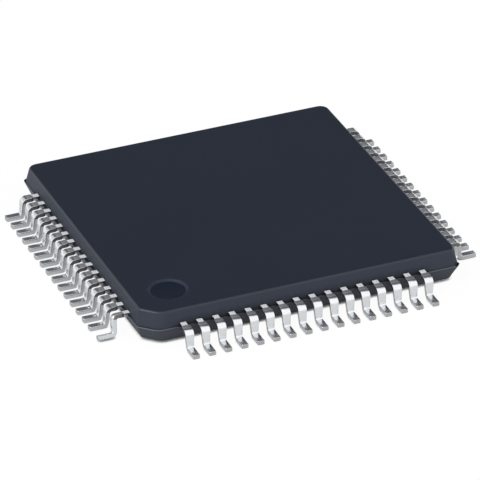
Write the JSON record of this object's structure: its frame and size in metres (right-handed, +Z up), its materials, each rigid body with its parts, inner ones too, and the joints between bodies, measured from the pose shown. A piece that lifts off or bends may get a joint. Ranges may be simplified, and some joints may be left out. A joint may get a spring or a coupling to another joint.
{
  "type": "quad flat pack chip",
  "caption": "Thin square surface-mount chip package in black epoxy with fine gull-wing leads on all four sides, a pin-one dimple and a chamfered corner.",
  "frame": {"origin": "middle of the package on the seating plane, the level of the solder feet", "axes": "+Z up out of the moulded top, +X along the row of leads that starts at pin one, +Y from that row towards the one opposite"},
  "size_m": [0.012, 0.012, 0.0011],
  "materials": {
    "mould_compound": "silica-filled epoxy mould compound, near black with a fine matte texture",
    "tinned_lead": "bright tin plating over stamped copper alloy",
    "copper_alloy": "bare stamped copper alloy, silver-flashed on the die side",
    "silver_epoxy": "cured silver-filled epoxy adhesive",
    "silicon": "polished silicon, opaque dark grey",
    "gold_wire": "drawn gold wire"
  },
  "bodies": {
    "root": {"moulded_body": "mould_compound", "leads_01_to_04": "tinned_lead", "leads_05_to_08": "tinned_lead", "leads_09_to_12": "tinned_lead", "leads_13_to_16": "tinned_lead", "leads_17_to_20": "tinned_lead", "leads_21_to_24": "tinned_lead", "leads_25_to_28": "tinned_lead", "leads_29_to_32": "tinned_lead", "leads_33_to_36": "tinned_lead", "leads_37_to_40": "tinned_lead", "leads_41_to_44": "tinned_lead", "leads_45_to_48": "tinned_lead", "leads_49_to_52": "tinned_lead", "leads_53_to_56": "tinned_lead", "leads_57_to_60": "tinned_lead", "leads_61_to_64": "tinned_lead", "die_paddle": "copper_alloy", "die_attach": "silver_epoxy", "silicon_die": "silicon", "bond_wires_front": "gold_wire", "bond_wires_right": "gold_wire", "bond_wires_back": "gold_wire", "bond_wires_left": "gold_wire"}
  },
  "joints": []
}
